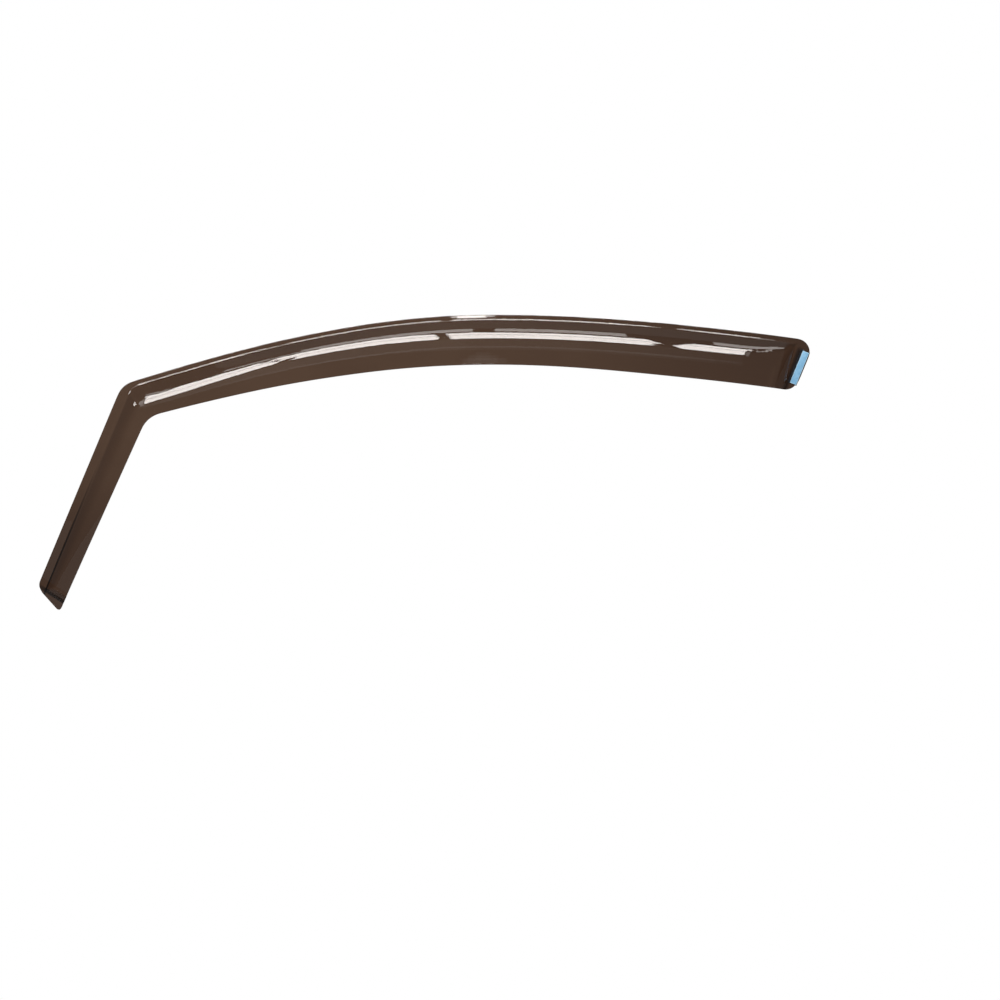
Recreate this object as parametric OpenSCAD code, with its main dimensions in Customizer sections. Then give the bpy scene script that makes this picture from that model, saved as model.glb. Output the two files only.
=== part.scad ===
// Rain deflector for a car's left front door window, moulded in tinted acrylic.
// Its outer flange is pushed up into the window channel, and a strip of foam tape holds its
// tail. A long arm follows the top of the window and a leg runs down the windscreen pillar.
// X runs back along the car, Z is up, and -Y faces away from the door. The origin is on the
// top edge of the flange at the crest of the arch, halfway through the wall.

/* [Arm] */
// Length of the top edge from the crest forward to the corner of the knee
arm_front = 418; // [340:0.5:500]
// Length of the top edge from the crest back to the corner of the tail
arm_rear = 355.5; // [290:0.5:440]
// Radius of the top edge just in front of the crest
crest_front_radius = 935; // [800:5:1500]
// Length of the top edge at that radius
crest_front_length = 150; // [100:1:200]
// Radius of the top edge further forward
mid_front_radius = 1400; // [1000:10:2500]
// Length of the top edge at that radius
mid_front_length = 130; // [60:1:180]
// Radius of the top edge near the knee
knee_end_radius = 2300; // [1500:10:5000]
// Radius of the top edge just behind the crest
crest_rear_radius = 1855; // [1200:5:3000]
// Length of the top edge at that radius
crest_rear_length = 140; // [80:1:200]
// Radius of the top edge near the tail
tail_end_radius = 3080; // [2000:10:6000]
// Width of the arm at the knee
arm_width_knee = 41.4; // [38:0.1:55]
// Width of the arm at the crest
arm_width_crest = 55; // [45:0.1:70]
// Width of the arm at the tail
arm_width_tail = 57.5; // [48:0.5:75]
// Distance in front of the crest from which the arm narrows towards the knee
narrowing_start = 95; // [60:5:150]
// Distance behind the crest over which the arm widens
widening_length = 220; // [120:5:280]

/* [Leg] */
// Angle between the leg and the vertical
leg_angle = 22.75; // [15:0.25:35]
// Length of the leg's outer edge from the corner of the knee to the foot
leg_length = 241.4; // [180:0.2:320]
// Width of the leg at the knee
leg_width_knee = 40; // [34:0.1:50]
// Width of the leg at the foot
leg_width_foot = 33.3; // [30:0.1:45]

/* [Knee] */
// Radius of the knee's outer edge
knee_outer_radius = 24; // [12:1:30]
// Radius of the bend in the crown at the knee
knee_crown_radius = 9; // [4:0.5:14]
// Radius of the knee's inner edge
knee_inner_radius = 30; // [15:1:38]

/* [Section] */
// Thickness of the acrylic
wall = 3; // [2:0.1:4]
// Width of the flange along the arm
flange_width = 5.3; // [4.5:0.1:8]
// Width of the flange along the leg
leg_flange_width = 10.2; // [7:0.1:11]
// Distance of the crown from the outer edge, at the crest and behind it
crown_depth = 20; // [17:0.5:24]
// Distance of the crown from the outer edge where they come nearest, in front of the crest
crown_depth_front = 17.6; // [16.5:0.1:22]
// Distance of that place from the crest
crown_front_place = 215; // [150:5:240]
// Distance of the crown from the outer edge at the knee's end of the arm
crown_depth_knee = 23.9; // [19:0.1:25]
// Distance of the crown from the outer edge at the top of the leg
leg_crown_depth = 22.9; // [19:0.1:24]
// Height of the crown above the flange
crown_height = 12; // [8:0.5:16]
// Half of the width over which the crown is rounded
crown_round = 7; // [5:0.5:9]
// Half of the width over which the crease beside the flange is rounded
crease_round = 1; // [0.8:0.1:1.5]
// Slope of the face just below the crown, in degrees
face_slope_top = 11; // [4:0.5:18]
// Slope of the face at its free edge, in degrees
face_slope_edge = 1; // [0:0.5:6]

/* [Foot] */
// Distance of the crown from the outer edge at the foot
foot_crown_depth = 14.5; // [14:0.5:20]
// Height of the crown at the foot
foot_crown_height = 6; // [4:0.5:9]
// Length of the flange below the foot's crease, at its outer edge
foot_flange = 2.5; // [2:0.5:6]
// Slant of the foot's edge, in degrees
foot_edge_slant = 25.5; // [14:0.5:30]
// Slant of the foot's crease, in degrees
foot_crease_slant = 10.5; // [4:0.5:13]
// Slope of the wall that closes the foot, in degrees
foot_wall_slope = 62; // [45:1:65]
// Length over which the foot's outer corner is rounded
foot_outer_round = 7.5; // [3:0.5:9]
// Length over which the foot's inner corner is rounded
foot_inner_round = 5.5; // [4:0.5:12]

/* [Tail] */
// Distance of the crown from the outer edge at the tail
tail_crown_depth = 12.5; // [11:0.5:16]
// Height of the crown at the tail
tail_crown_height = 9; // [6:0.5:12]
// Length of the arm over which the crown drops towards the tail
tail_run = 62; // [50:1:140]
// Width of the tail's flange, along the top edge
tail_flange = 19.3; // [17.5:0.1:26]
// Slant of the tail's edge from square, in degrees
tail_edge_slant = 14; // [8:0.5:16]
// Slant of the tail's crease from square, in degrees
tail_crease_slant = 6.7; // [4:0.1:7.5]
// Slope of the wall that closes the tail, in degrees
tail_wall_slope = 50; // [40:1:60]
// Length over which the tail's top corner is rounded
tail_top_round = 20; // [8:0.5:22]
// Length over which the tail's bottom corner is rounded
tail_bottom_round = 12; // [5:0.5:13]

/* [Curve of the door] */
// Radius of the door's side seen from above
bow_radius = 7000; // [4000:100:12000]
// Distance behind the crest from which the arm runs straight
bow_end = 270; // [220:1:280]
// Radius of the door's side seen from the front, below the arm
barrel_radius = 1600; // [1000:50:3000]
// Distance below the crest at which that curve starts
barrel_start = 105; // [100:1:130]

/* [Tape] */
// Width of the foam tape
foam_width = 10.3; // [8.5:0.1:11]
// Length of the foam tape
foam_length = 39.4; // [38:0.1:42]
// Thickness of the foam tape
foam_thickness = 1.1; // [0.8:0.1:2]
// Distance of the foam from the tail's edge
foam_edge_gap = 0.6; // [0.6:0.1:1.2]
// Distance of the foam from the tail's top corner
foam_corner_gap = 14; // [13.5:0.1:15]
// Width of the release liner
liner_width = 7.4; // [5:0.1:7.8]
// Length of the release liner
liner_length = 38; // [28:0.1:38.2]
// Thickness of the release liner
liner_thickness = 0.3; // [0.2:0.1:0.5]
// Distance from the foam's outer edge to the liner's
liner_edge_gap = 0.6; // [0.2:0.1:0.9]
// Radius of the tape's corners
tape_corner = 0.3; // [0.2:0.1:1.5]

/* [Hidden] */

// How finely the shell is drawn: the longest step along it, and rows across each part of it
station_step = 14;
flange_rows = 3;
shoulder_rows = 8;
face_rows = 9;
knee_steps = 12;
wall_steps = 7;
end_flange_steps = 5;
// Length beside each end crease that is drawn finely
end_fine = 12;
// Length of the leg over which its sections turn from the foot's slant to square
foot_run = 60;
// Length along the outer edge, each side of the knee's corner, that the knee takes up
knee_span = 42;
// Length, each side of the place where the arm starts to narrow, over which it does so gently
narrowing_round = 100;
// How closely the rows below the crown crowd towards it
face_row_power = 1.5;
// Height over which an end wall is blended into the crown
end_blend = 6;
// The least height over which two heights are blended
least_blend = 0.001;

front_arcs = [[crest_front_radius, crest_front_length], [mid_front_radius, mid_front_length],
              [knee_end_radius, arm_front]];
rear_arcs = [[crest_rear_radius, crest_rear_length], [tail_end_radius, arm_rear]];

function mix(a, b, t) = a + (b - a) * t;
function ease(t) = let (c = max(0, min(1, t))) c * c * (3 - 2 * c);
function unit2(v) = v / norm(v);
function to_degrees(radians) = radians * 180 / PI;

// 0 before zero and t after it, rounded by a parabola from -round to round
function soft_ramp(t, round) =
    t <= -round ? 0 : t >= round ? t : pow(t + round, 2) / (4 * round);

// Place and downward heading, in X and Z, at distance d along a chain of [radius, length] arcs
// that leaves the crest level
function along_arcs(d, arcs, i = 0, x = 0, z = 0, heading = 0) =
    let (radius = arcs[i][0], run = arcs[i][1])
    let (last = i == len(arcs) - 1 || d <= run)
    let (turned = heading + to_degrees((last ? d : run) / radius))
    let (x_end = x + radius * (sin(turned) - sin(heading)))
    let (z_end = z + radius * (cos(turned) - cos(heading)))
    last ? [x_end, z_end, turned] : along_arcs(d - run, arcs, i + 1, x_end, z_end, turned);

// The arm's outer edge: place and heading at distance s behind the crest, negative in front
function edge_at(s) =
    s >= 0 ? along_arcs(s, rear_arcs)
           : let (p = along_arcs(-s, front_arcs)) [-p[0], p[1], -p[2]];

// A point of the arm, depth from the outer edge at station s, which slants by its tangent
function arm_point(s, depth, slant) =
    let (p = edge_at(s), forward = [cos(p[2]), -sin(p[2])], inward = [-sin(p[2]), -cos(p[2])])
    [p[0], p[1]] + inward * depth - forward * depth * slant;

knee_corner = arm_point(-arm_front, 0, 0);
leg_down = [-sin(leg_angle), -cos(leg_angle)];
leg_inward = [cos(leg_angle), -sin(leg_angle)];

// A point of the leg, depth from the outer edge at distance a below the knee's corner
function leg_point(a, depth, slant) =
    knee_corner + leg_down * (a + depth * slant) + leg_inward * depth;

function arm_width(s) =
    s < 0 ? mix(arm_width_crest, arm_width_knee,
                soft_ramp(-s - narrowing_start, narrowing_round) / (arm_front - narrowing_start))
          : mix(arm_width_crest, arm_width_tail, ease(s / widening_length));
function arm_crown_depth(s) =
    s < -crown_front_place
        ? mix(crown_depth_front, crown_depth_knee,
              ease((-s - crown_front_place) / (arm_front - knee_span - crown_front_place)))
        : mix(crown_depth, crown_depth_front, ease(-s / crown_front_place));
function leg_width(a) = mix(leg_width_knee, leg_width_foot, a / leg_length);

tail_crease = arm_rear - tail_flange;
foot_crease = leg_length - foot_flange;
function tail_drop(s) = ease((s - tail_crease + tail_run) / tail_run);

// Depths of the crease, the crown and the free edge, and the crown's height, at a station
function arm_sizes(s) =
    [flange_width, mix(arm_crown_depth(s), tail_crown_depth, tail_drop(s)), arm_width(s),
     mix(crown_height, tail_crown_height, tail_drop(s))];
function leg_sizes(a) =
    [leg_flange_width, mix(leg_crown_depth, foot_crown_depth, a / leg_length), leg_width(a),
     mix(crown_height, foot_crown_height, a / leg_length)];

function arm_slant(s) =
    s < tail_crease
        ? tan(tail_crease_slant) * tail_drop(s)
        : mix(tan(tail_crease_slant), tan(tail_edge_slant), (s - tail_crease) / tail_flange);
function leg_slant(a) =
    a < foot_crease
        ? tan(foot_crease_slant) * ease((a - foot_crease + foot_run) / foot_run)
        : mix(tan(foot_crease_slant), tan(foot_edge_slant), (a - foot_crease) / foot_flange);

// A station is its four rail points, at the outer edge, crease, crown and free edge, and sizes
function arm_station(s) =
    let (sizes = arm_sizes(s), slant = arm_slant(s))
    [[for (depth = [0, sizes[0], sizes[1], sizes[2]]) arm_point(s, depth, slant)], sizes];
function leg_station(a) =
    let (sizes = leg_sizes(a), slant = leg_slant(a))
    [[for (depth = [0, sizes[0], sizes[1], sizes[2]]) leg_point(a, depth, slant)], sizes];

// Where the line from p along a meets the line through q along b
function meeting(p, a, q, b) =
    p + a * ((q[0] - p[0]) * b[1] - (q[1] - p[1]) * b[0]) / (a[0] * b[1] - a[1] * b[0]);

// A point at share t along a rail that leaves p along a, bends with a radius and reaches q along b
function bend_point(p, a, q, b, radius, t) =
    let (corner = meeting(p, a, q, b), turn = acos(a * b))
    let (tangent = radius * tan(turn / 2), arc = radius * turn * PI / 180)
    let (before = norm(corner - p) - tangent, after = norm(q - corner) - tangent)
    let (run = t * (before + arc + after), right = [a[1], -a[0]])
    let (angle = to_degrees((run - before) / radius))
    run < before ? p + a * run
    : run > before + arc ? q - b * (before + arc + after - run)
    : p + a * before + right * radius * (1 - cos(angle)) + a * radius * sin(angle);

leg_top = leg_station(knee_span);
leg_below = leg_station(knee_span + 1);
arm_start = arm_station(knee_span - arm_front);
arm_next = arm_station(knee_span + 1 - arm_front);
knee_radii = [knee_outer_radius, mix(knee_outer_radius, knee_crown_radius,
              flange_width / crown_depth_knee), knee_crown_radius, knee_inner_radius];

function knee_station(t) =
    [[for (r = [0:3])
        bend_point(leg_top[0][r], unit2(leg_top[0][r] - leg_below[0][r]), arm_start[0][r],
                   unit2(arm_next[0][r] - arm_start[0][r]), knee_radii[r], t)],
     mix(leg_top[1], arm_start[1], t)];

// Values from first to last in steps no longer than step, without the first
function steps(first, last, step) =
    let (n = max(1, ceil(abs(last - first) / step)))
    [for (i = [1:n]) mix(first, last, i / n)];

stations = [
    for (i = [0:end_flange_steps])
        leg_station(mix(leg_length, foot_crease, i / end_flange_steps)),
    for (i = [1:wall_steps]) leg_station(foot_crease - end_fine * i / wall_steps),
    for (a = steps(foot_crease - end_fine, knee_span, station_step)) leg_station(a),
    for (i = [1:knee_steps - 1]) knee_station(i / knee_steps),
    arm_start,
    for (s = steps(knee_span - arm_front, tail_crease - tail_run, station_step)) arm_station(s),
    for (s = steps(tail_crease - tail_run, tail_crease - end_fine, station_step / 2))
        arm_station(s),
    for (i = [1:wall_steps]) arm_station(tail_crease - end_fine * (1 - i / wall_steps)),
    for (i = [1:end_flange_steps]) arm_station(tail_crease + tail_flange * i / end_flange_steps)
];

// Rows as [rail, share of the way to the next rail]; they crowd towards the crease and crown
rows = [
    for (i = [0:flange_rows - 1]) [0, sin(90 * i / flange_rows)],
    for (i = [0:shoulder_rows - 1]) [1, (1 - cos(180 * i / shoulder_rows)) / 2],
    for (i = [0:face_rows]) [2, pow(i / face_rows, face_row_power)]
];

function row_place(station, row) =
    mix(station[0][row[0]], station[0][row[0] + 1], row[1]);
function row_depth(sizes, row) =
    mix(row[0] == 0 ? 0 : sizes[row[0] - 1], sizes[row[0]], row[1]);

// The lower of two heights, blended where they come near each other
function soft_lower(a, b) =
    let (blend = min(end_blend, max(a, b, least_blend)), near = max(0, 1 - abs(a - b) / blend))
    min(a, b) - near * near * blend / 4;

// Height above the flange of the section: shoulder, rounded crown and curved face
function section_height(depth, sizes) =
    let (crease = sizes[0], crown = sizes[1], edge = sizes[2])
    let (rise = sizes[3] / (crown - crease), top = tan(face_slope_top))
    let (round = min(crown_round, crown - crease - crease_round))
    rise * soft_ramp(depth - crease, crease_round)
        - (rise - top) * soft_ramp(depth - crown, round)
        - (top - tan(face_slope_edge)) * pow(max(0, depth - crown), 2) / (2 * (edge - crown));

// Distance of p from the line through a and b, positive on its left
function left_of(p, a, b) =
    let (along = unit2(b - a)) along[0] * (p[1] - a[1]) - along[1] * (p[0] - a[0]);

foot_line = leg_station(foot_crease)[0];
tail_line = arm_station(tail_crease)[0];

function height(place, depth, sizes) =
    let (foot = tan(foot_wall_slope) * soft_ramp(left_of(place, foot_line[0], foot_line[3]),
                                                 crease_round))
    let (tail = tan(tail_wall_slope) * soft_ramp(left_of(place, tail_line[3], tail_line[0]),
                                                 crease_round))
    soft_lower(soft_lower(section_height(depth, sizes), foot), tail);

// The side of the door as Y over the plan: bowed along the car up to bow_end, then straight,
// and curving inwards below the arm
function door_side(place) =
    let (x = min(place[0], bow_end), below = min(0, place[1] + barrel_start))
    x * x / (2 * bow_radius) + (place[0] - x) * bow_end / bow_radius
        + below * below / (2 * barrel_radius);

// Rounds one corner: a square patch of side reach at the corner becomes a quarter of a disc
function rounded(place, corner, toward_a, toward_b, reach) =
    let (a_dir = unit2(toward_a - corner), b_dir = unit2(toward_b - corner))
    let (v = place - corner, cross = a_dir[0] * b_dir[1] - a_dir[1] * b_dir[0])
    let (p = 1 - (v[0] * b_dir[1] - v[1] * b_dir[0]) / cross / reach)
    let (q = 1 - (a_dir[0] * v[1] - a_dir[1] * v[0]) / cross / reach)
    p <= 0 || q <= 0 ? place
    : corner + a_dir * reach * (1 - p * sqrt(1 - q * q / 2))
             + b_dir * reach * (1 - q * sqrt(1 - p * p / 2));

foot_end = leg_station(leg_length)[0];
tail_end = arm_station(arm_rear)[0];
foot_outer_next = leg_point(leg_length - foot_outer_round, 0, 0);
foot_inner_next = leg_station(leg_length - foot_inner_round)[0][3];
tail_top_next = arm_point(arm_rear - tail_top_round, 0, 0);
tail_bottom_next = arm_station(arm_rear - tail_bottom_round)[0][3];

function with_corners(place) =
    rounded(rounded(rounded(rounded(place,
        foot_end[0], foot_outer_next, foot_end[3], foot_outer_round),
        foot_end[3], foot_inner_next, foot_end[0], foot_inner_round),
        tail_end[0], tail_top_next, tail_end[3], tail_top_round),
        tail_end[3], tail_bottom_next, tail_end[0], tail_bottom_round);

outer_skin = [
    for (station = stations) [
        for (row = rows)
            let (place = row_place(station, row), shown = with_corners(place))
            let (up = height(place, row_depth(station[1], row), station[1]))
            [shown[0], door_side(shown) - wall / 2 - up, shown[1]]
    ]
];

last_station = len(stations) - 1;
last_row = len(rows) - 1;

// The inner skin lies one wall behind the outer one, square to it
inner_skin = [
    for (i = [0:last_station]) [
        for (j = [0:last_row])
            let (along = outer_skin[min(i + 1, last_station)][j] - outer_skin[max(i - 1, 0)][j])
            let (across = outer_skin[i][min(j + 1, last_row)] - outer_skin[i][max(j - 1, 0)])
            let (normal = cross(across, along))
            outer_skin[i][j] - normal / norm(normal) * wall
    ]
];

function flat_list(grid) = [for (line = grid) for (p = line) p];

module visor_shell() {
    row_count = last_row + 1;
    skin_count = (last_station + 1) * row_count;
    function at(i, j) = i * row_count + j;
    function quad(a, b, c, d) = [[a, b, c], [a, c, d]];
    color("#4a372c")
    polyhedron(
        points = concat(flat_list(outer_skin), flat_list(inner_skin)),
        faces = [
            for (i = [0:last_station - 1], j = [0:last_row - 1])
                let (a = at(i, j), b = at(i + 1, j), c = at(i + 1, j + 1), d = at(i, j + 1))
                let (k = skin_count)
                each concat(quad(a, b, c, d), [[a + k, c + k, b + k], [a + k, d + k, c + k]]),
            for (i = [0:last_station - 1], j = [0, last_row])
                let (a = at(i, j), b = at(i + 1, j), k = skin_count)
                each j == 0 ? quad(b, a, a + k, b + k) : quad(a, b, b + k, a + k),
            for (j = [0:last_row - 1], i = [0, last_station])
                let (a = at(i, j), d = at(i, j + 1), k = skin_count)
                each i == 0 ? quad(a, d, d + k, a + k) : quad(d, a, a + k, d + k)
        ]
    );
}

// Places a flat shape on the outside of the tail's flange, with its origin at the corner where
// the top edge and the tail's edge would meet, and its Y axis up along the tail's edge
module on_tail_flange(lift) {
    lean = edge_at(arm_rear)[2] + tail_edge_slant;
    corner = tail_end[0];
    turn = atan(bow_end / bow_radius);
    translate([corner[0], door_side(corner) - wall / 2, corner[1]])
        rotate([90, 0, turn])
            rotate([0, 0, -lean])
                translate([0, 0, lift]) children();
}

// A strip with rounded corners whose right side is at -gap and top at -top
module strip(width, length, thickness, gap, top) {
    translate([-gap - width, -top - length, 0])
        linear_extrude(thickness) {
            translate([tape_corner, 0]) square([width - 2 * tape_corner, length]);
            translate([0, tape_corner]) square([width, length - 2 * tape_corner]);
            for (x = [tape_corner, width - tape_corner], y = [tape_corner, length - tape_corner])
                translate([x, y]) circle(r = tape_corner, $fn = 32);
        }
}

module foam_tape() {
    color("#141a20")
        on_tail_flange(0)
            strip(foam_width, foam_length, foam_thickness, foam_edge_gap, foam_corner_gap);
}

module release_liner() {
    color("#85b8de")
        on_tail_flange(foam_thickness)
            strip(liner_width, liner_length, liner_thickness, foam_edge_gap + liner_edge_gap,
                  foam_corner_gap + (foam_length - liner_length) / 2);
}

visor_shell();
foam_tape();
release_liner();
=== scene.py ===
"""Dresses the window rain deflector: a smoked acrylic visor, its foam tape and the tape's liner.

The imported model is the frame. The three pieces are modelled over its solids, in metres, and
keep their places. +X runs back along the car, +Z is up and -Y faces away from the door.
"""

import logging
import math
from collections.abc import Iterable
from dataclasses import dataclass
from enum import Enum

import bmesh
import bpy
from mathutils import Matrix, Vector


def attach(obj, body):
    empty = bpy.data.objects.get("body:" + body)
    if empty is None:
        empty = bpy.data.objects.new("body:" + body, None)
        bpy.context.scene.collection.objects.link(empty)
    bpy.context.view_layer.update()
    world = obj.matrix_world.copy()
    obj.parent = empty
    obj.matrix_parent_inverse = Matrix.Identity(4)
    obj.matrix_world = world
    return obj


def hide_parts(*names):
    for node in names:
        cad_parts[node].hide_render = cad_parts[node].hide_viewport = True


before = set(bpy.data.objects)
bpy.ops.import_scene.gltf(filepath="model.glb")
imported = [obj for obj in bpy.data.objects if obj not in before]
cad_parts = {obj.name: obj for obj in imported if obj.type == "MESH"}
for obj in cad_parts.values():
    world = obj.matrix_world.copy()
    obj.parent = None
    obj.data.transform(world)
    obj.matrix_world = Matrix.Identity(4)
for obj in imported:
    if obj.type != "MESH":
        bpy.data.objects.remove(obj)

MM = 0.001
LOG = logging.getLogger("deflector")

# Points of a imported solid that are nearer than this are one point.
WELD = 0.005 * MM

# The colour sockets of a Mix node, by number: its two inputs and its result.
MIX_LOW, MIX_HIGH, MIX_RESULT = 6, 7, 2

Colour = tuple[float, float, float]
Span = tuple[float, float]
Paint = Colour | bpy.types.NodeSocket

WHITE: Colour = (1.0, 1.0, 1.0)


def in_front(x: float, z: float) -> Vector:
    """A place in the plane that the camera faces, from its X and Z in millimetres."""
    return Vector((x * MM, 0.0, z * MM))


def in_plane(angle: float) -> Vector:
    """The direction in X and Z that is turned from +X down by an angle in degrees."""
    return Vector((math.cos(math.radians(angle)), 0.0, -math.sin(math.radians(angle))))


class Blend(Enum):
    """How two colours are put together."""

    MIX = "MIX"
    MULTIPLY = "MULTIPLY"


class Signal:
    """A number in a node tree that can be used in plain arithmetic."""

    def __init__(self, recipe: "Recipe", socket: bpy.types.NodeSocket) -> None:
        """Wraps an output socket.

        Args:
            recipe: The node tree that the socket is in.
            socket: The output socket.
        """
        self.recipe = recipe
        self.socket = socket

    def _maths(self, operation: str, first: "Value", second: "Value" = 0.0) -> "Signal":
        """Adds a Math node and returns its result."""
        node = self.recipe.node("ShaderNodeMath", {"operation": operation}, {0: first, 1: second})
        return Signal(self.recipe, node.outputs[0])

    def __add__(self, other: "Value") -> "Signal":
        """self + other."""
        return self._maths("ADD", self, other)

    def __radd__(self, other: float) -> "Signal":
        """other + self."""
        return self._maths("ADD", other, self)

    def __sub__(self, other: "Value") -> "Signal":
        """self - other."""
        return self._maths("SUBTRACT", self, other)

    def __rsub__(self, other: float) -> "Signal":
        """other - self."""
        return self._maths("SUBTRACT", other, self)

    def __mul__(self, other: "Value") -> "Signal":
        """self * other."""
        return self._maths("MULTIPLY", self, other)

    def __rmul__(self, other: float) -> "Signal":
        """other * self."""
        return self._maths("MULTIPLY", other, self)

    def size(self) -> "Signal":
        """The value without its sign."""
        return self._maths("ABSOLUTE", self)

    def larger(self, other: "Value") -> "Signal":
        """The larger of two values."""
        return self._maths("MAXIMUM", self, other)

    def ramp(self, low: float, high: float) -> "Signal":
        """Rises smoothly from 0 at low to 1 at high.

        Args:
            low: The value that becomes 0.
            high: The value that becomes 1.

        Returns:
            The eased value, never outside 0 to 1.
        """
        node = self.recipe.node(
            "ShaderNodeMapRange",
            {"interpolation_type": "SMOOTHSTEP"},
            {"Value": self, "From Min": low, "From Max": high},
        )
        return Signal(self.recipe, node.outputs["Result"])


Value = Signal | float


@dataclass(frozen=True)
class Clouds:
    """Cloudy noise: how large it is in metres, its finer layers and its stretch along X, Y, Z."""

    size: float
    detail: float = 2.0
    stretch: Colour = (1.0, 1.0, 1.0)


class Recipe:
    """The node tree of one finish."""

    def __init__(self, tree: bpy.types.NodeTree) -> None:
        """Empties a node tree to build in.

        Args:
            tree: The tree of a material or of the world.
        """
        self.tree = tree
        tree.nodes.clear()

    @classmethod
    def for_material(cls, name: str) -> tuple["Recipe", bpy.types.Material]:
        """Makes a new material.

        Args:
            name: The material's name.

        Returns:
            Its empty recipe and the material.
        """
        material = bpy.data.materials.new(name)
        material.use_nodes = True
        return cls(material.node_tree), material

    def node(
        self,
        kind: str,
        settings: dict[str, object] | None = None,
        sockets: dict[str | int, object] | None = None,
    ) -> bpy.types.Node:
        """Adds one node.

        Args:
            kind: The node's type.
            settings: Properties of the node, which are set first.
            sockets: Values or links of its inputs, by name or number.

        Returns:
            The new node.
        """
        made = self.tree.nodes.new(kind)
        for key, value in (settings or {}).items():
            setattr(made, key, value)
        for key, value in (sockets or {}).items():
            self.feed(made.inputs[key], value)
        return made

    def feed(self, target: bpy.types.NodeSocket, value: object) -> None:
        """Links a value to an input, or sets the input's own value.

        Args:
            target: The input.
            value: A signal or an output to link, or a number, vector or colour to set.
        """
        if isinstance(value, Signal):
            self.tree.links.new(value.socket, target)
        elif isinstance(value, bpy.types.NodeSocket):
            self.tree.links.new(value, target)
        elif target.type == "RGBA":
            target.default_value = (*value, 1.0)
        else:
            target.default_value = value

    def place(self) -> bpy.types.NodeSocket:
        """Where a point is on the piece, in metres."""
        return self.node("ShaderNodeTexCoord").outputs["Object"]

    def along(self, axis: Vector, origin: Vector = Vector()) -> Signal:
        """Distance of a point from an origin along an axis, in metres.

        Args:
            axis: The direction, of length 1.
            origin: The point that gives 0.

        Returns:
            The distance.
        """
        dot = self.node(
            "ShaderNodeVectorMath",
            {"operation": "DOT_PRODUCT"},
            {0: self.place(), 1: tuple(axis)},
        )
        return Signal(self, dot.outputs["Value"]) - axis.dot(origin)

    def noise(self, clouds: Clouds) -> Signal:
        """Cloudy noise from 0 to 1.

        Args:
            clouds: What the noise looks like.

        Returns:
            The noise.
        """
        scale = tuple(1.0 / share for share in clouds.stretch)
        mapping = self.node("ShaderNodeMapping", None, {"Vector": self.place(), "Scale": scale})
        cloud = self.node(
            "ShaderNodeTexNoise",
            None,
            {"Vector": mapping.outputs[0], "Scale": 1.0 / clouds.size, "Detail": clouds.detail},
        )
        return Signal(self, cloud.outputs[0])

    def cells(self, size: float) -> Signal:
        """Distance to the nearest of many scattered points, as a share of their spacing.

        Args:
            size: The spacing, in metres.

        Returns:
            The distance.
        """
        found = self.node(
            "ShaderNodeTexVoronoi", None, {"Vector": self.place(), "Scale": 1.0 / size}
        )
        return Signal(self, found.outputs["Distance"])

    def colour(
        self, low: Paint, high: Paint, share: Value, blend: Blend = Blend.MIX
    ) -> bpy.types.NodeSocket:
        """Goes from one colour to another.

        Args:
            low: The colour at share 0.
            high: The colour at share 1.
            share: How far the mix has gone.
            blend: How they are put together.

        Returns:
            The mixed colour.
        """
        mix = self.node(
            "ShaderNodeMix",
            {"data_type": "RGBA", "blend_type": blend.value},
            {"Factor": share, MIX_LOW: low, MIX_HIGH: high},
        )
        return mix.outputs[MIX_RESULT]

    def bump(self, height: Value, depth: float) -> bpy.types.NodeSocket:
        """Turns a height into a normal.

        Args:
            height: The height, as a share of the depth.
            depth: The height of 1, in metres.

        Returns:
            The normal.
        """
        made = self.node(
            "ShaderNodeBump", None, {"Height": height, "Distance": depth, "Strength": 1.0}
        )
        return made.outputs[0]

    def surface(self, shader: bpy.types.Node, volume: bpy.types.Node | None = None) -> None:
        """Links the finished shader to the output.

        Args:
            shader: The shader.
            volume: What fills the inside, if anything does.
        """
        output = self.node("ShaderNodeOutputMaterial", None, {"Surface": shader.outputs[0]})
        if volume:
            self.feed(output.inputs["Volume"], volume.outputs[0])


@dataclass(frozen=True)
class Stripe:
    """A straight stripe with soft sides that fades in along its length.

    It is whole within core of its middle line and gone at half_width. Along fade_along, from
    start, it is gone at the first distance of fade and whole at the second.
    """

    start: Vector
    across: Vector
    half_width: float
    core: float
    fade_along: Vector
    fade: Span

    def share(self, recipe: Recipe) -> Signal:
        """How far a point lies in the stripe.

        Args:
            recipe: The node tree.

        Returns:
            The share, from 0 to 1.
        """
        beside = recipe.along(self.across, self.start).size()
        strength = recipe.along(self.fade_along, self.start).ramp(*self.fade)
        return (1.0 - beside.ramp(self.core, self.half_width)) * strength


@dataclass(frozen=True)
class PaintedShadeLine(Stripe):
    """A stripe of painted shade: the plastic's colour is darkened along it, in the part's bends
    and beside the tape.
    """

    # the colour of the painted shade, multiplied into the plastic's colour
    shade: Colour


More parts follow.
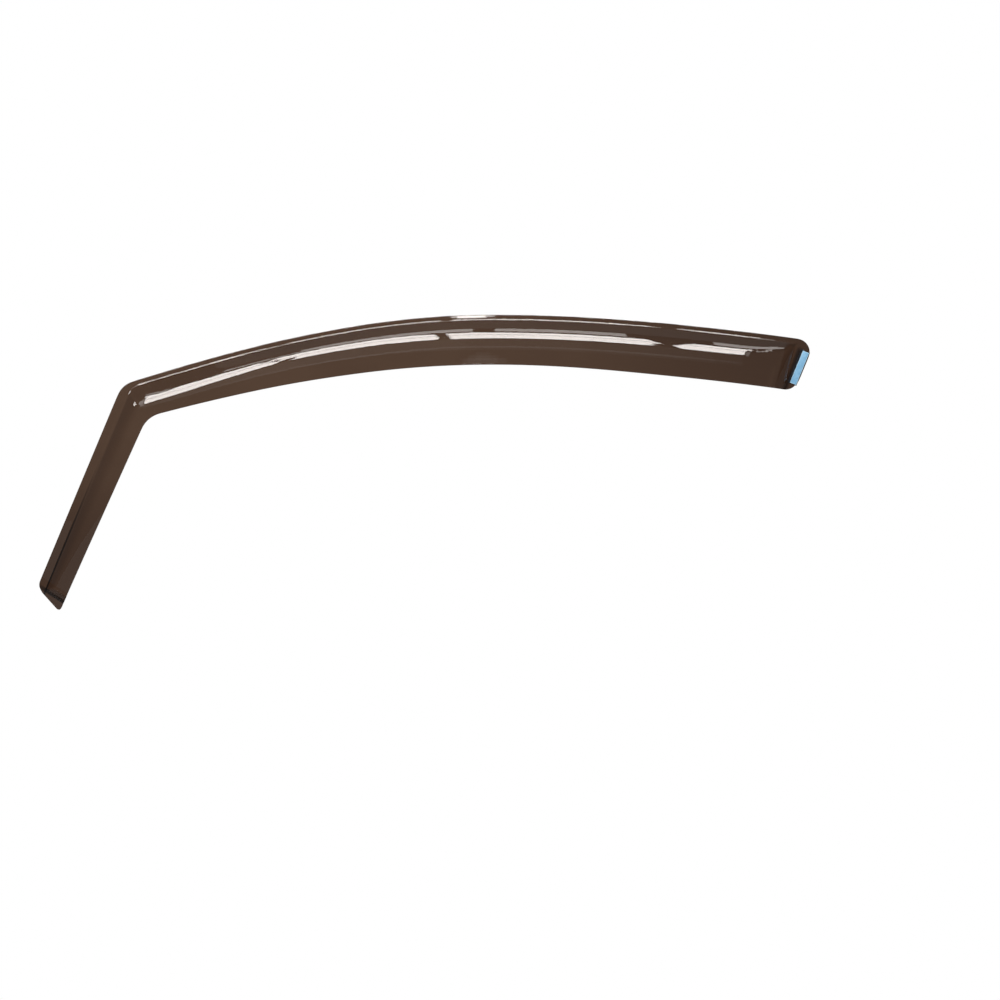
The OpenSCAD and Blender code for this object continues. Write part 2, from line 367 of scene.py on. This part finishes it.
@dataclass(frozen=True)
class SmokedAcrylic:
    """Clear, hard, glossy plastic dyed brown; its colour is darker towards its two ends, and
    painted shade darkens it along its bends.
    """

    tint: Colour = (0.98, 0.96, 0.95)
    tint_flow: Colour = (0.90, 0.87, 0.85)
    tint_end: Colour = (0.56, 0.50, 0.47)
    fade_back: Span = (-60 * MM, 380 * MM)
    fade_down: Span = (120 * MM, 275 * MM)
    absorbed_hue: Colour = (0.31, 0.145, 0.0)
    density: float = 1125.0
    ior: float = 1.49
    polish: float = 0.02
    haze: float = 0.02
    gloss: float = 1.0
    gloss_ior: float = 1.6
    flow: Clouds = Clouds(45 * MM, 3.0, (3.0, 1.0, 1.0))
    flow_range: Span = (0.35, 0.65)
    smears: Clouds = Clouds(9 * MM, 4.0, (2.5, 1.0, 1.0))
    smear_range: Span = (0.55, 0.8)
    ripple: Clouds = Clouds(70 * MM, 1.0)
    ripple_depth: float = 0.012 * MM
    painted_shade_lines: tuple[PaintedShadeLine, ...] = (
        # painted shade down the leg's crease
        PaintedShadeLine(
            in_front(-399.9, -81.1), in_plane(22.75), 1.5 * MM, 0.6 * MM,
            in_plane(112.75), (70 * MM, 190 * MM), (0.10, 0.08, 0.07),
        ),
        # painted shade across the foot, where its end wall starts
        PaintedShadeLine(
            in_front(-501.4, -297.6), in_plane(123.25), 3.0 * MM, 1.2 * MM,
            in_plane(33.25), (-8 * MM, 14 * MM), (0.12, 0.10, 0.08),
        ),
        # painted shadow of the tape, beside it
        PaintedShadeLine(
            in_front(323.2, -74.1), in_plane(21.4), 5.0 * MM, 0.5 * MM,
            in_plane(111.4), (-43 * MM, -36 * MM), (0.25, 0.22, 0.22),
        ),
    )
    matt_walls: tuple[Stripe, ...] = (
        # the tail's end wall
        Stripe(
            in_front(330.5, -25.2), in_plane(14.67), 7.5 * MM, 5.0 * MM,
            in_plane(104.67), (2 * MM, 12 * MM),
        ),
        # the foot's end wall
        Stripe(
            in_front(-499.2, -294.3), in_plane(123.25), 7.0 * MM, 5.0 * MM,
            in_plane(33.25), (-8 * MM, 2 * MM),
        ),
    )

    def material(self) -> bpy.types.Material:
        """Mixes the finish.

        Returns:
            The material.
        """
        recipe, material = Recipe.for_material("smoked_acrylic")
        flow = recipe.noise(self.flow)
        smear = recipe.noise(self.smears).ramp(*self.smear_range)
        ripple = recipe.noise(self.ripple)
        back = recipe.along(Vector((1.0, 0.0, 0.0))).ramp(*self.fade_back)
        down = recipe.along(Vector((0.0, 0.0, -1.0))).ramp(*self.fade_down)
        dye_flow = recipe.colour(self.tint_flow, self.tint, flow.ramp(*self.flow_range))
        dye_and_painted_shade = recipe.colour(dye_flow, self.tint_end, back.larger(down))
        # painted shade along the bends, and a painted shadow beside the tape
        for line in self.painted_shade_lines:
            dye_and_painted_shade = recipe.colour(dye_and_painted_shade, line.shade, line.share(recipe), Blend.MULTIPLY)
        gloss: Value = self.gloss
        for wall in self.matt_walls:
            gloss = (1.0 - wall.share(recipe)) * gloss
        shader = recipe.node(
            "ShaderNodeBsdfPrincipled",
            None,
            {
                "Base Color": dye_and_painted_shade,
                "Roughness": self.polish + smear * self.haze,
                "IOR": self.ior,
                "Transmission Weight": 1.0,
                "Coat Weight": gloss,
                "Coat IOR": self.gloss_ior,
                "Coat Roughness": self.polish,
                "Normal": recipe.bump(ripple, self.ripple_depth),
            },
        )
        dye = recipe.node(
            "ShaderNodeVolumeAbsorption",
            None,
            {"Color": self.absorbed_hue, "Density": self.density},
        )
        recipe.surface(shader, dye)
        return material


@dataclass(frozen=True)
class ClosedCellFoam:
    """Black foam with fine closed cells, cut with a die."""

    black: Colour = (0.006, 0.009, 0.014)
    grey: Colour = (0.022, 0.028, 0.036)
    cell: float = 0.35 * MM
    cell_range: Span = (0.15, 0.6)
    cell_depth: float = 0.06 * MM
    wear: Clouds = Clouds(4 * MM, 3.0)
    wear_polish: float = 0.15
    roughness: float = 0.85
    sheen: float = 0.1

    def material(self) -> bpy.types.Material:
        """Mixes the finish.

        Returns:
            The material.
        """
        recipe, material = Recipe.for_material("closed_cell_foam")
        pores = recipe.cells(self.cell).ramp(*self.cell_range)
        worn = recipe.noise(self.wear)
        shader = recipe.node(
            "ShaderNodeBsdfPrincipled",
            None,
            {
                "Base Color": recipe.colour(self.black, self.grey, pores * worn),
                "Specular IOR Level": self.sheen,
                "Roughness": self.roughness - self.wear_polish * worn,
                "Normal": recipe.bump(1.0 - pores, self.cell_depth),
            },
        )
        recipe.surface(shader)
        return material


@dataclass(frozen=True)
class LinerFilm:
    """Light blue release film, paler along its cut border.

    The border is palest from its outer edge to border_full of its width, and fades inwards.
    """

    centre: Vector
    along: Vector
    across: Vector
    half_length: float
    half_width: float
    blue: Colour = (0.19, 0.43, 0.66)
    blue_light: Colour = (0.25, 0.49, 0.72)
    border: Colour = (0.46, 0.66, 0.80)
    border_width: float = 0.7 * MM
    border_full: float = 0.2
    clouds: Clouds = Clouds(6 * MM, 3.0)
    cloud_range: Span = (0.35, 0.65)
    grain: Clouds = Clouds(0.5 * MM, 2.0)
    grain_height: float = 0.1
    grain_roughness: float = 0.15
    height: float = 0.05 * MM
    roughness: float = 0.32

    def material(self) -> bpy.types.Material:
        """Mixes the finish.

        Returns:
            The material.
        """
        recipe, material = Recipe.for_material("liner_film")
        beside = recipe.along(self.across, self.centre).size() - self.half_width
        beyond = recipe.along(self.along, self.centre).size() - self.half_length
        edge = beside.larger(beyond).ramp(
            -self.border_width, -self.border_full * self.border_width
        )
        cloud = recipe.noise(self.clouds)
        grain = recipe.noise(self.grain)
        film = recipe.colour(self.blue, self.blue_light, cloud.ramp(*self.cloud_range))
        shader = recipe.node(
            "ShaderNodeBsdfPrincipled",
            None,
            {
                "Base Color": recipe.colour(film, self.border, edge),
                "Roughness": self.roughness + self.grain_roughness * grain,
                "Normal": recipe.bump(cloud + grain * self.grain_height, self.height),
            },
        )
        recipe.surface(shader)
        return material


def select_only(piece: bpy.types.Object) -> None:
    """Selects one object and makes it the active one.

    Args:
        piece: The object.
    """
    bpy.ops.object.select_all(action="DESELECT")
    piece.select_set(True)
    bpy.context.view_layer.objects.active = piece


def merged_copy(node: str, name: str) -> bpy.types.Object:
    """Copies a solid's mesh into a new piece and joins its loose triangles.

    Args:
        node: The solid's node.
        name: The new piece's name.

    Returns:
        The piece, selected, in edit mode, with all of it selected.
    """
    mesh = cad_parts[node].data.copy()
    mesh.materials.clear()
    piece = bpy.data.objects.new(name, mesh)
    bpy.context.scene.collection.objects.link(piece)
    select_only(piece)
    bpy.ops.object.mode_set(mode="EDIT")
    bpy.ops.mesh.select_mode(type="EDGE")
    bpy.ops.mesh.select_all(action="SELECT")
    bpy.ops.mesh.remove_doubles(threshold=WELD)
    return piece


def select_bends(
    piece: bpy.types.Object, least: float, most: float = math.pi, hollow: bool = False
) -> int:
    """Selects the edges at which two faces meet at an angle, in edit mode.

    Args:
        piece: The piece that is being edited.
        least: The least angle between the faces, in radians.
        most: The greatest.
        hollow: Whether only hollow bends are wanted, not ridges.

    Returns:
        How many edges were selected.
    """
    bpy.ops.mesh.select_all(action="DESELECT")
    shape = bmesh.from_edit_mesh(piece.data)
    bends = [
        edge
        for edge in shape.edges
        if len(edge.link_faces) == 2
        and least < edge.calc_face_angle() < most
        and not (hollow and edge.is_convex)
    ]
    for edge in bends:
        edge.select_set(True)
    bmesh.update_edit_mesh(piece.data)
    return len(bends)


def finish_piece(
    piece: bpy.types.Object, node: str, material: bpy.types.Material
) -> None:
    """Gives a piece its material and puts it in the place of its solid.

    Args:
        piece: The piece.
        node: The solid that it stands for.
        material: The finish.
    """
    piece.data.materials.append(material)
    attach(piece, "root")
    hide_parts(node)
    triangles = sum(len(face.vertices) - 2 for face in piece.data.polygons)
    LOG.info("%s: %d triangles", piece.name, triangles)


@dataclass
class VisorShell:
    """The moulded visor, with a smooth polished surface over its solid."""

    node: str = "visor_shell"
    name: str = "visor_polished"
    slot: str = "acrylic"
    quad_bend: float = math.radians(30)
    quad_skew: float = math.radians(60)
    rim_angle: float = math.radians(55)
    rim_round: float = 0.25 * MM
    rim_crease: float = 1.0
    hollow_bends: Span = (math.radians(9), math.radians(30))
    hollow_crease: float = 0.7
    smoothing: int = 2
    finish: SmokedAcrylic = SmokedAcrylic()

    def build(self) -> bpy.types.Object:
        """Makes the visor.

        Returns:
            The finished piece.
        """
        piece = merged_copy(self.node, self.name)
        bpy.ops.mesh.tris_convert_to_quads(
            face_threshold=self.quad_bend, shape_threshold=self.quad_skew
        )
        rim = select_bends(piece, self.rim_angle)
        bpy.ops.mesh.bevel(
            offset=self.rim_round, segments=1, affect="EDGES", clamp_overlap=True
        )
        # the bevel has halved the rim's bends
        kept = select_bends(piece, self.rim_angle / 2)
        bpy.ops.transform.edge_crease(value=self.rim_crease)
        hollow = select_bends(piece, *self.hollow_bends, hollow=True)
        bpy.ops.transform.edge_crease(value=self.hollow_crease)
        LOG.info("edges of the rim: %d, kept: %d, of the creases: %d", rim, kept, hollow)
        bpy.ops.object.mode_set(mode="OBJECT")
        left = sum(len(face.vertices) == 3 for face in piece.data.polygons)
        LOG.info("triangles left: %d of %d faces", left, len(piece.data.polygons))
        smooth = piece.modifiers.new("smooth", "SUBSURF")
        smooth.levels = smooth.render_levels = self.smoothing
        bpy.ops.object.modifier_apply(modifier=smooth.name)
        bpy.ops.object.shade_smooth()
        finish_piece(piece, self.node, self.finish.material())
        return piece


@dataclass(frozen=True)
class TapeLayer:
    """One layer of the tape, with softened edges over its solid."""

    node: str
    name: str
    slot: str
    edge_round: float
    edge_segments: int = 3
    flat_within: float = math.radians(1)
    corner_angle: float = math.radians(50)
    smooth_within: float = math.radians(40)

    def shape(self) -> bpy.types.Object:
        """Makes the layer's mesh.

        Returns:
            The piece, without a material.
        """
        piece = merged_copy(self.node, self.name)
        bpy.ops.mesh.dissolve_limited(angle_limit=self.flat_within)
        select_bends(piece, self.corner_angle)
        bpy.ops.mesh.bevel(
            offset=self.edge_round,
            segments=self.edge_segments,
            affect="EDGES",
            clamp_overlap=True,
        )
        bpy.ops.object.mode_set(mode="OBJECT")
        bpy.ops.object.shade_smooth_by_angle(angle=self.smooth_within)
        return piece


@dataclass
class Tape:
    """The strip of foam tape on the visor's tail, with its release liner."""

    foam: TapeLayer = TapeLayer("foam_tape", "foam_strip", "foam", 0.25 * MM)
    liner: TapeLayer = TapeLayer("release_liner", "liner_strip", "liner", 0.1 * MM)
    lean: float = math.radians(22.35)

    def film(self, strip: bpy.types.Object) -> LinerFilm:
        """Fits the liner's finish to its place.

        Args:
            strip: The liner's piece.

        Returns:
            The finish.
        """
        points = [vertex.co for vertex in strip.data.vertices]
        centre = sum(points, Vector()) / len(points)
        along = Vector((math.sin(self.lean), 0.0, math.cos(self.lean)))
        across = Vector((math.cos(self.lean), 0.0, -math.sin(self.lean)))
        return LinerFilm(
            centre,
            along,
            across,
            max(abs(along.dot(point - centre)) for point in points),
            max(abs(across.dot(point - centre)) for point in points),
        )

    def build(self) -> list[bpy.types.Object]:
        """Makes both layers.

        Returns:
            The foam and the liner.
        """
        foam = self.foam.shape()
        liner = self.liner.shape()
        finish_piece(foam, self.foam.node, ClosedCellFoam().material())
        finish_piece(liner, self.liner.node, self.film(liner).material())
        return [foam, liner]


@dataclass(frozen=True)
class LampRow:
    """A row of softboxes between two heights, each from its left to its right end.

    The heights are angles in degrees as seen from the arch's crest, and the ends are X in
    metres.
    """

    low: float
    high: float
    radiance: float
    spans: tuple[Span, ...]


@dataclass(frozen=True)
class Softbox:
    """A lit panel in front of the deflector and above it, as seen from the arch's crest."""

    name: str
    low: float
    high: float
    left: float
    right: float
    radiance: float
    distance: float = 1.2
    warmth: Colour = (1.0, 0.96, 0.93)

    def hang(self) -> bpy.types.Object:
        """Hangs the panel, facing the deflector.

        Returns:
            The lamp.
        """
        middle = math.radians((self.low + self.high) / 2)
        tall = 2 * self.distance * math.tan(math.radians((self.high - self.low) / 2))
        wide = self.right - self.left
        where = Vector(
            (
                (self.left + self.right) / 2,
                -math.cos(middle) * self.distance,
                math.sin(middle) * self.distance,
            )
        )
        bpy.ops.object.light_add(
            type="AREA", location=where, rotation=(math.pi / 2 - middle, 0.0, 0.0)
        )
        lamp = bpy.context.object
        lamp.name = self.name
        lamp.data.color = self.warmth
        lamp.data.shape = "RECTANGLE"
        lamp.data.size = wide
        lamp.data.size_y = tall
        lamp.data.energy = self.radiance * math.pi * wide * tall
        lamp.visible_camera = False
        lamp.visible_transmission = False
        return lamp


@dataclass
class Studio:
    """The camera, the white room, its floor and its lamps."""

    centre: Vector = in_front(7.15, -203.8)
    view_width: float = 1.1
    lens: float = 800.0
    sensor: float = 36.0
    sight: float = 4.0
    floor_drop: float = 0.85
    floor_size: float = 8.0
    floor_grey: Colour = (0.3, 0.3, 0.3)
    floor_glow: float = 0.85
    backdrop_edge: Span = (0.5, 0.9)
    ambient: float = 0.35
    mirrored: float = 0.10
    rows: tuple[LampRow, ...] = (
        # the white streak along the crown, with its gaps, pointed tips and fine middle line
        LampRow(22.6, 24.0, 8.4, ((0.333, 0.420),)),
        LampRow(
            24.0, 30.0, 8.4,
            ((-0.825, -0.490), (-0.440, -0.113), (-0.087, 0.288), (0.333, 0.470)),
        ),
        LampRow(
            30.0, 36.0, 8.4,
            ((-0.840, -0.500), (-0.455, -0.118), (-0.093, 0.300), (0.337, 0.474)),
        ),
        LampRow(
            36.0, 40.5, 8.4,
            ((-0.850, -0.545), (-0.525, -0.126), (-0.100, 0.318), (0.350, 0.476)),
        ),
        LampRow(
            40.5, 43.0, 4.8,
            ((-0.860, -0.560), (-0.545, -0.130), (-0.103, 0.318), (0.360, 0.478)),
        ),
        LampRow(
            43.0, 48.5, 8.4,
            ((-0.870, -0.580), (-0.560, -0.134), (-0.106, 0.312), (0.370, 0.480)),
        ),
        LampRow(48.5, 51.0, 8.4, ((-0.90, -0.800),)),
        LampRow(
            48.5, 54.9, 8.4,
            ((-0.80, -0.625), (-0.595, -0.142), (-0.114, 0.310), (0.388, 0.486)),
        ),
        LampRow(52.5, 57.0, 1.6, ((-0.90, -0.810),)),
        # the paler row over the streak
        LampRow(60.5, 65.0, 2.2, ((-0.745, -0.520),)),
        LampRow(60.5, 71.0, 2.2, ((-0.520, -0.053), (0.001, 0.275), (0.437, 0.490))),
        LampRow(60.5, 76.0, 2.2, ((0.490, 0.530),)),
        # the small glints past the streak's end at the tail
        LampRow(40.0, 60.0, 3.0, ((0.508, 0.518),)),
        LampRow(20.0, 40.0, 0.7, ((0.476, 0.495),)),
        # the grey patch under the streak's start
        LampRow(14.0, 24.0, 0.9, ((-1.00, -0.800),)),
        # the dim band between the streak and the face's faint line, fading to the tail
        LampRow(10.0, 24.0, 0.14, ((-0.90, -0.250),)),
        LampRow(10.0, 24.0, 0.11, ((-0.25, -0.050),)),
        LampRow(10.0, 24.0, 0.08, ((-0.05, 0.150),)),
        LampRow(10.0, 24.0, 0.06, ((0.15, 0.370),)),
        LampRow(10.0, 24.0, 0.03, ((0.37, 0.450),)),
        # the face's faint line, in small steps
        LampRow(8.9, 10.0, 0.24, ((-1.10, -0.380),)),
        LampRow(9.3, 10.4, 0.22, ((-0.38, -0.310),)),
        LampRow(9.7, 10.8, 0.22, ((-0.31, -0.250),)),
        LampRow(10.1, 11.2, 0.20, ((-0.25, -0.200),)),
        LampRow(10.5, 11.6, 0.20, ((-0.20, -0.150),)),
        LampRow(10.9, 12.0, 0.20, ((-0.15, -0.100),)),
        LampRow(11.3, 12.4, 0.18, ((-0.10, 0.320),)),
        LampRow(11.3, 12.4, 0.13, ((0.32, 0.370),)),
        LampRow(11.3, 12.4, 0.09, ((0.37, 0.410),)),
        LampRow(11.3, 12.4, 0.05, ((0.41, 0.440),)),
        # the soft light from overhead
        LampRow(72.0, 100.0, 0.12, ((-0.90, 0.60),)),
        # the knee's grey patch and its glint
        LampRow(24.0, 45.0, 1.4, ((-1.12, -0.850),)),
        LampRow(36.0, 43.0, 6.0, ((-2.00, -1.450),)),
        LampRow(43.0, 56.0, 6.0, ((-2.45, -1.850),)),
        # the glint on the flange at the crest
        LampRow(-0.6, 1.0, 11.0, ((-0.056, -0.012),)),
        LampRow(-0.2, 0.7, 5.0, ((-0.065, -0.056), (-0.012, 0.002))),
        # the soft patch on the face below it
        LampRow(1.5, 4.0, 0.10, ((-0.050, 0.020),)),
        LampRow(1.5, 6.0, 0.09, ((-0.042, 0.006),)),
        LampRow(3.0, 8.0, 0.08, ((-0.030, -0.006),)),
    )

    def set_camera(self) -> None:
        """Sets the camera far in front, level with the middle of the view."""
        distance = self.view_width * self.lens / self.sensor
        bpy.ops.object.camera_add(
            location=self.centre - Vector((0.0, distance, 0.0)), rotation=(math.pi / 2, 0.0, 0.0)
        )
        camera = bpy.context.object
        camera.data.lens = self.lens
        camera.data.sensor_width = self.sensor
        camera.data.clip_end = self.sight * distance
        bpy.context.scene.camera = camera

    def brightness(self, recipe: Recipe, backdrop: Value) -> Signal:
        """How bright the room is: white where it is seen, and dimmer where it is mirrored.

        Args:
            recipe: The node tree.
            backdrop: 1 where a mirrored ray meets the white backdrop, and 0 in the dark studio.

        Returns:
            The strength, where 1 is white.
        """
        ray = recipe.node("ShaderNodeLightPath")
        seen = Signal(recipe, ray.outputs["Is Camera Ray"]).larger(
            Signal(recipe, ray.outputs["Is Transmission Ray"])
        )
        glossy = Signal(recipe, ray.outputs["Is Glossy Ray"])
        mirror = self.mirrored + (1.0 - self.mirrored) * backdrop
        other = glossy * mirror + (1.0 - glossy) * self.ambient
        return seen + (1.0 - seen) * other

    def paint_world(self) -> None:
        """Makes the room white behind the part and dim in front of it."""
        world = bpy.data.worlds.new("white_room")
        world.use_nodes = True
        bpy.context.scene.world = world
        recipe = Recipe(world.node_tree)
        way = recipe.node("ShaderNodeTexCoord").outputs["Generated"]
        parts = recipe.node("ShaderNodeSeparateXYZ", None, {0: way})
        behind = Signal(recipe, parts.outputs["Y"]).ramp(*self.backdrop_edge)
        strength = self.brightness(recipe, behind)
        light = recipe.node("ShaderNodeBackground", None, {"Color": WHITE, "Strength": strength})
        recipe.node("ShaderNodeOutputWorld", None, {"Surface": light.outputs[0]})

    def lay_floor(self) -> None:
        """Lays the pale floor, well below the part."""
        bpy.ops.mesh.primitive_plane_add(
            size=self.floor_size, location=(0.0, 0.0, -self.floor_drop)
        )
        floor = bpy.context.object
        floor.name = "floor"
        recipe, material = Recipe.for_material("pale_floor")
        matt = recipe.node("ShaderNodeBsdfDiffuse", None, {"Color": self.floor_grey})
        strength = self.brightness(recipe, 0.0) * self.floor_glow
        glow = recipe.node("ShaderNodeEmission", None, {"Color": WHITE, "Strength": strength})
        both = recipe.node("ShaderNodeAddShader", None, {0: matt.outputs[0], 1: glow.outputs[0]})
        recipe.surface(both)
        floor.data.materials.append(material)

    def hang_lamps(self) -> None:
        """Hangs the rows of softboxes, with the gaps between their columns."""
        for number, row in enumerate(self.rows):
            for column, (left, right) in enumerate(row.spans):
                name = f"softbox_{number}_{column}"
                Softbox(name, row.low, row.high, left, right, row.radiance).hang()

    def build(self) -> None:
        """Sets up everything round the part."""
        bpy.context.scene.view_settings.view_transform = "Standard"
        self.set_camera()
        self.paint_world()
        self.lay_floor()
        self.hang_lamps()


def main() -> None:
    """Builds the studio and the pieces."""
    logging.basicConfig(level=logging.INFO, format="%(name)s: %(message)s")
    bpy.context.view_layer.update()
    Studio().build()
    pieces = [VisorShell().build(), *Tape().build()]
    for piece in pieces:
        LOG.info("built %s", piece.name)


if __name__ == "__main__":
    main()
